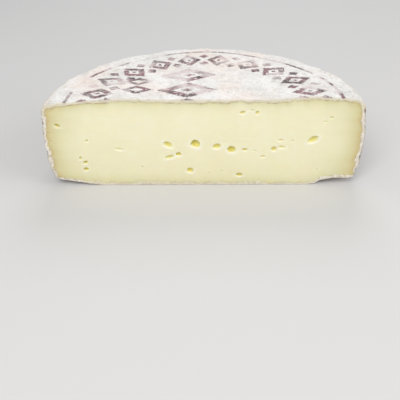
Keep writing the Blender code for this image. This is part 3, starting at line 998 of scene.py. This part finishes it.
def skin_colour(tree, place, crumbs, random):
    """Bloom above and below and crust between, and the share of crust, which sheen and bump follow too."""
    sideness = kept(tree, "sideness")
    parts = add(tree, "SeparateXYZ", {0: place}, out="X").node
    ragged = calc(tree, "SUBTRACT", grain(tree, place, 9 * MM, 4.0, 0.65, 12.0), 0.5)
    ragged = times(tree, ragged, BORDER_REACH)
    level = calc(tree, "ADD", parts.outputs["Z"], ragged)
    patchy = patches(tree, place, 10 * MM, 14.0, 0.40, 0.56, 0.2)
    cream = rise_and_fall(tree, level, 52.0 * MM, 54.5 * MM, 56.5 * MM, 60.0 * MM)
    bloom = tinted(tree, bloom_colour(tree, place), CREAM, cream, sideness, 0.65)
    from_cut = calc(tree, "SUBTRACT", parts.outputs["Y"], CUT_Y)
    # A ragged band beside the cut, where the bloom turns tan-beige and the crust paler
    fringe = ramp(tree, calc(tree, "ADD", from_cut, ragged), FRINGE_ENDS, FRINGE_FULL)
    bloom = tinted(tree, bloom, CUT_CREAM, fringe, 0.55)
    flecks_beside_cut = patches(tree, place, 1.2 * MM, 19.0, 0.42, 0.56, 0.15, 0.90, detail=4.0, rough=0.7)
    crust = crust_colour(tree, place, level, patchy, crumbs, random)
    crust = tinted(tree, crust, PALE_BESIDE_CUT, fringe, flecks_beside_cut)
    share = times(tree, sideness, rise_and_fall(tree, level, 3.0 * MM, 5.5 * MM, 53.4 * MM, 55.2 * MM))
    colour = mixed(tree, share, bloom, crust)
    brink = rise_and_fall(tree, level, 52.8 * MM, 53.8 * MM, 54.5 * MM, 55.6 * MM)
    colour = tinted(tree, colour, BRINK, brink, patchy, 0.65, sideness)
    # Painted shade in the pits and cracks of bloom and crust
    colour = tinted(tree, colour, PIT_SHADE, kept(tree, "pit_shade"), 0.22)
    shelf = patches(tree, place, 9 * MM, 7.0, 0.40, 0.62)
    return tinted(tree, colour, SHELF_MARK, kept(tree, "underside"), shelf, 0.55), share


print("the border between bloom and crust strays by up to", BORDER_REACH / MM / 2, "mm")

# %% Ink on the top
INK, FADED_INK = (0.060, 0.034, 0.040, 1), (0.235, 0.105, 0.118, 1)
SMEAR = (0.70, 0.54, 0.53, 1)
INK_SCATTER, SMEAR_SCATTER = 2.6 * MM, 9 * MM


def inked(tree, place, colour):
    """The stamp on the top alone: a faint wide smear, then ink worn at two scales, that fades in patches."""
    height = add(tree, "SeparateXYZ", {0: place}, out="Z")
    whole = calc(tree, "SUBTRACT", 1.0, kept(tree, "section"))
    on_top = times(tree, ramp(tree, height, 45 * MM, 52 * MM), whole)
    wear = patches(tree, place, 1.9 * MM, 9.0, 0.36, 0.48, 0.10, rough=0.7)
    worn = patches(tree, place, 17 * MM, 11.0, 0.36, 0.54, 0.16, detail=2.0, rough=0.5)
    faded = patches(tree, place, 8 * MM, 13.0, 0.42, 0.62, detail=2.0, rough=0.5)
    colour = tinted(tree, colour, SMEAR, stamped(tree, place, SMEAR_SCATTER), on_top, 0.45)
    ink = mixed(tree, faded, INK, FADED_INK)
    return tinted(tree, colour, ink, stamped(tree, place, INK_SCATTER), wear, worn, on_top, 0.94)


print("ink from", INK[:3], "to", FADED_INK[:3])

# %% Section at the cut
SECTION, SECTION_SHADE = (0.90, 0.87, 0.80, 1), (0.62, 0.54, 0.40, 1)
SECTION_PIT_SHADE, YELLOW_TAN_SECTION, DASH = (0.38, 0.29, 0.17, 1), (0.66, 0.59, 0.36, 1), (0.50, 0.37, 0.17, 1)


def section_colour(tree, place):
    """Pale beige with painted shade in pits and gaps, yellower along the top and the base, and brown dashes
    beside the paste.
    """
    colour = clouded(tree, place, SECTION, SECTION_SHADE, 6 * MM, 1.2 * MM, 0.6, 0.8)
    # Painted shade in the section's pits and gaps
    colour = tinted(tree, colour, SECTION_PIT_SHADE, kept(tree, "pit_shade"), 0.7)
    height = add(tree, "SeparateXYZ", {0: place}, out="Z")
    at_base, at_top = ramp(tree, height, 3.5 * MM, 1.2 * MM), ramp(tree, height, 50 * MM, 56 * MM)
    # Yellower tan along the top and the base of the section
    colour = tinted(tree, colour, YELLOW_TAN_SECTION, calc(tree, "MAXIMUM", at_base, at_top), 0.60)
    stretched = add(tree, "VectorMath", {0: place, 1: (0.35, 1.0, 1.0)}, operation="MULTIPLY")
    dashes = patches(tree, stretched, 1.6 * MM, 17.0, 0.46, 0.60)
    beside_paste = ramp(tree, kept(tree, "section"), 0.72, 0.92)
    return tinted(tree, colour, DASH, dashes, beside_paste, 0.60)


print("section from", SECTION[:3], "to", SECTION_SHADE[:3])

# %% [markdown]
# The dry surface scatters light widely, so it is very rough. The bloom has a faint sheen, as a powder has,
# and the crust has none and shines less. What is finer than the mesh is bump: its grain and small crumbs.

# %% Rind material
CRUMB_SIZE = 1.6 * MM
BUMP_HEIGHT = 0.45 * MM


def rind_finish():
    """The skin with its ink, and the section where that attribute says so."""
    material, tree, shader = new_material("bloomed rind")
    place = add(tree, "TexCoord", out="Object")
    crumbs, random = crumbled(tree, place, CRUMB_SIZE)
    skin_tone, crust = skin_colour(tree, place, crumbs, random)
    in_section = ramp(tree, kept(tree, "section"), 0.5, 0.95)
    colour = mixed(tree, in_section, inked(tree, place, skin_tone), section_colour(tree, place))
    tree.links.new(colour, shader.inputs["Base Color"])
    rough = patches(tree, place, 4 * MM, 0.0, 0.3, 0.7, 0.82, 0.98, detail=2.0, rough=0.5)
    tree.links.new(rough, shader.inputs["Roughness"])
    tree.links.new(ramp(tree, crust, 0.0, 1.0, 0.25, 0.10), shader.inputs["Specular IOR Level"])
    tree.links.new(times(tree, calc(tree, "SUBTRACT", 1.0, crust), 0.12), shader.inputs["Sheen Weight"])
    shader.inputs["Sheen Roughness"].default_value = 0.6
    fine = grain(tree, place, 1.1 * MM, 3.0, 0.6, 4.0)
    fine = calc(tree, "ADD", fine, grain(tree, place, 3.2 * MM, 2.0, 0.5, 6.0))
    fine = calc(tree, "ADD", fine, times(tree, crumbs, random, crust, 1.6))
    bump = add(tree, "Bump", {"Strength": 0.75, "Distance": BUMP_HEIGHT, "Height": fine})
    tree.links.new(bump, shader.inputs["Normal"])
    return material


rind.data.materials.append(rind_finish())
print("rind finish:", rind.data.materials[0].name)

# %% [markdown]
# ## The paste's finish
# Cut paste is smooth and slightly moist, and light goes a few millimetres into it, which softens the eyes'
# edges and makes their insides glow yellow. Subsurface scattering gives that, and a deeper yellow painted in
# the eyes adds painted bounce light. The colour goes from ivory to straw with the ripening attribute, and a
# painted highlight lies just round the eyes, mostly below them.

# %% Paste material
IVORY, IVORY_SHADE = (0.875, 0.832, 0.606, 1), (0.850, 0.800, 0.545, 1)
STRAW, DEEP_STRAW, TAN_BIT = (0.56, 0.51, 0.22, 1), (0.60, 0.475, 0.205, 1), (0.46, 0.34, 0.16, 1)
EYE_BOUNCE_YELLOW, EYE_LIP_HIGHLIGHT = (0.78, 0.69, 0.165, 1), (0.94, 0.915, 0.82, 1)
LIGHT_REACH = 3 * MM


def paste_finish():
    """Ivory, straw towards the rind, painted bounce yellow in the eyes and a painted highlight round them,
    with faint clouds and the knife's drag as bump.
    """
    material, tree, shader = new_material("cut paste")
    place = add(tree, "TexCoord", out="Object")
    ivory = clouded(tree, place, IVORY, IVORY_SHADE, 20 * MM, 3.5 * MM, 0.35, 0.8)
    ripe = kept(tree, "ripe")
    straw = mixed(tree, ramp(tree, ripe, 0.40, 0.95), STRAW, DEEP_STRAW)
    colour = mixed(tree, ripe, ivory, straw)
    bits = patches(tree, place, 1.3 * MM, 4.0, 0.56, 0.64, detail=2.0, rough=0.5)
    colour = tinted(tree, colour, TAN_BIT, bits, ramp(tree, ripe, 0.62, 0.90), 0.45)
    # The eyes' insides painted a deeper yellow, as painted bounce light
    colour = tinted(tree, colour, EYE_BOUNCE_YELLOW, kept(tree, "eye"), 0.85)
    # A painted highlight round the eyes, mostly below them
    colour = tinted(tree, colour, EYE_LIP_HIGHLIGHT, kept(tree, "lip_highlight"), 0.60)
    tree.links.new(colour, shader.inputs["Base Color"])
    rough = patches(tree, place, 6 * MM, 0.0, 0.3, 0.7, 0.40, 0.54, rough=0.5)
    tree.links.new(rough, shader.inputs["Roughness"])
    shader.inputs["Specular IOR Level"].default_value = 0.35
    shader.inputs["Subsurface Weight"].default_value = 0.35
    shader.inputs["Subsurface Radius"].default_value = (1.0, 0.75, 0.35)
    shader.inputs["Subsurface Scale"].default_value = LIGHT_REACH
    stretched = add(tree, "VectorMath", {0: place, 1: (0.15, 1.0, 1.0)}, operation="MULTIPLY")
    fine = calc(tree, "ADD", grain(tree, stretched, 0.9 * MM), grain(tree, place, 0.7 * MM, shift=3.0))
    bump = add(tree, "Bump", {"Strength": 0.25, "Distance": 0.1 * MM, "Height": fine})
    tree.links.new(bump, shader.inputs["Normal"])
    return material


paste.data.materials.append(paste_finish())
print("paste finish:", paste.data.materials[0].name)

# %% [markdown]
# ## Floor, light and camera
# A plain pale floor carries the cheese. One broad soft light from above and in front lifts the top and the
# cut face alike, a weaker one fills from the right, a third one behind lifts the crust's far side, and a pale
# world fills the shadows. The camera looks down at about 35 degrees from 35 cm away, as a hand-held picture
# does, with a slight turn and tilt.

# %% Floor
FLOOR_REACH = 2.0
FLOOR_COLOUR = (0.62, 0.61, 0.60, 1)


def floor():
    """A square of one face on the level that the base rests on."""
    mesh = bpy.data.meshes.new("floor")
    corners = FLOOR_REACH * np.array([(-1, -1, 0), (1, -1, 0), (1, 1, 0), (-1, 1, 0)], dtype=float)
    mesh.from_pydata(corners.tolist(), [], [(0, 1, 2, 3)])
    made = bpy.data.objects.new("floor", mesh)
    bpy.context.collection.objects.link(made)
    material, tree, shader = new_material("pale floor")
    shader.inputs["Base Color"].default_value = FLOOR_COLOUR
    shader.inputs["Roughness"].default_value = 0.8
    mesh.materials.append(material)
    return made


print("the floor is", 2 * FLOOR_REACH, "m wide:", floor().name)

# %% Light
WORLD_COLOUR, WORLD_STRENGTH = (0.95, 0.97, 1.0, 1), 0.40


def soft_light(name, place, aim, size, power):
    """A square area light that points from its place to its aim."""
    lamp = bpy.data.lights.new(name, "AREA")
    lamp.shape = "SQUARE"
    lamp.size = size
    lamp.energy = power
    made = bpy.data.objects.new(name, lamp)
    made.location = place
    made.rotation_euler = (Vector(aim) - Vector(place)).to_track_quat("-Z", "Y").to_euler()
    bpy.context.collection.objects.link(made)
    return made


soft_light("key", (-0.25, -0.80, 0.88), (0.0, -0.02, 0.03), 0.7, 9.2)
soft_light("fill", (0.8, -0.35, 0.55), (0.0, 0.0, 0.03), 0.6, 3.0)
soft_light("back", (0.1, 0.8, 0.9), (0.0, 0.0, 0.05), 0.6, 4.2)
world = bpy.data.worlds.new("pale world")
world.use_nodes = True
world.node_tree.nodes["Background"].inputs["Color"].default_value = WORLD_COLOUR
world.node_tree.nodes["Background"].inputs["Strength"].default_value = WORLD_STRENGTH
bpy.context.scene.world = world
bpy.context.scene.view_settings.view_transform = "Standard"

# %% Camera
CAMERA_PLACE = (2.9 * MM, CUT_Y - 300.3 * MM, 198.4 * MM)
# Angles in radians
LOOK_DOWN, LOOK_TURN, ROLL = 0.612, 0.019, -0.014
SENSOR_WIDTH, LENS_TO_SENSOR = 36.0, 1.35

lens = bpy.data.cameras.new("camera")
lens.sensor_width = SENSOR_WIDTH
lens.lens = LENS_TO_SENSOR * SENSOR_WIDTH
camera = bpy.data.objects.new("camera", lens)
camera.location = CAMERA_PLACE
aimed = Euler((math.pi / 2 - LOOK_DOWN, 0.0, LOOK_TURN)).to_matrix()
rolled = aimed @ Euler((0.0, 0.0, ROLL)).to_matrix()
camera.rotation_euler = rolled.to_euler()
bpy.context.collection.objects.link(camera)
bpy.context.scene.camera = camera
print("camera at", [round(v, 3) for v in CAMERA_PLACE], "lens", round(lens.lens, 1), "mm")
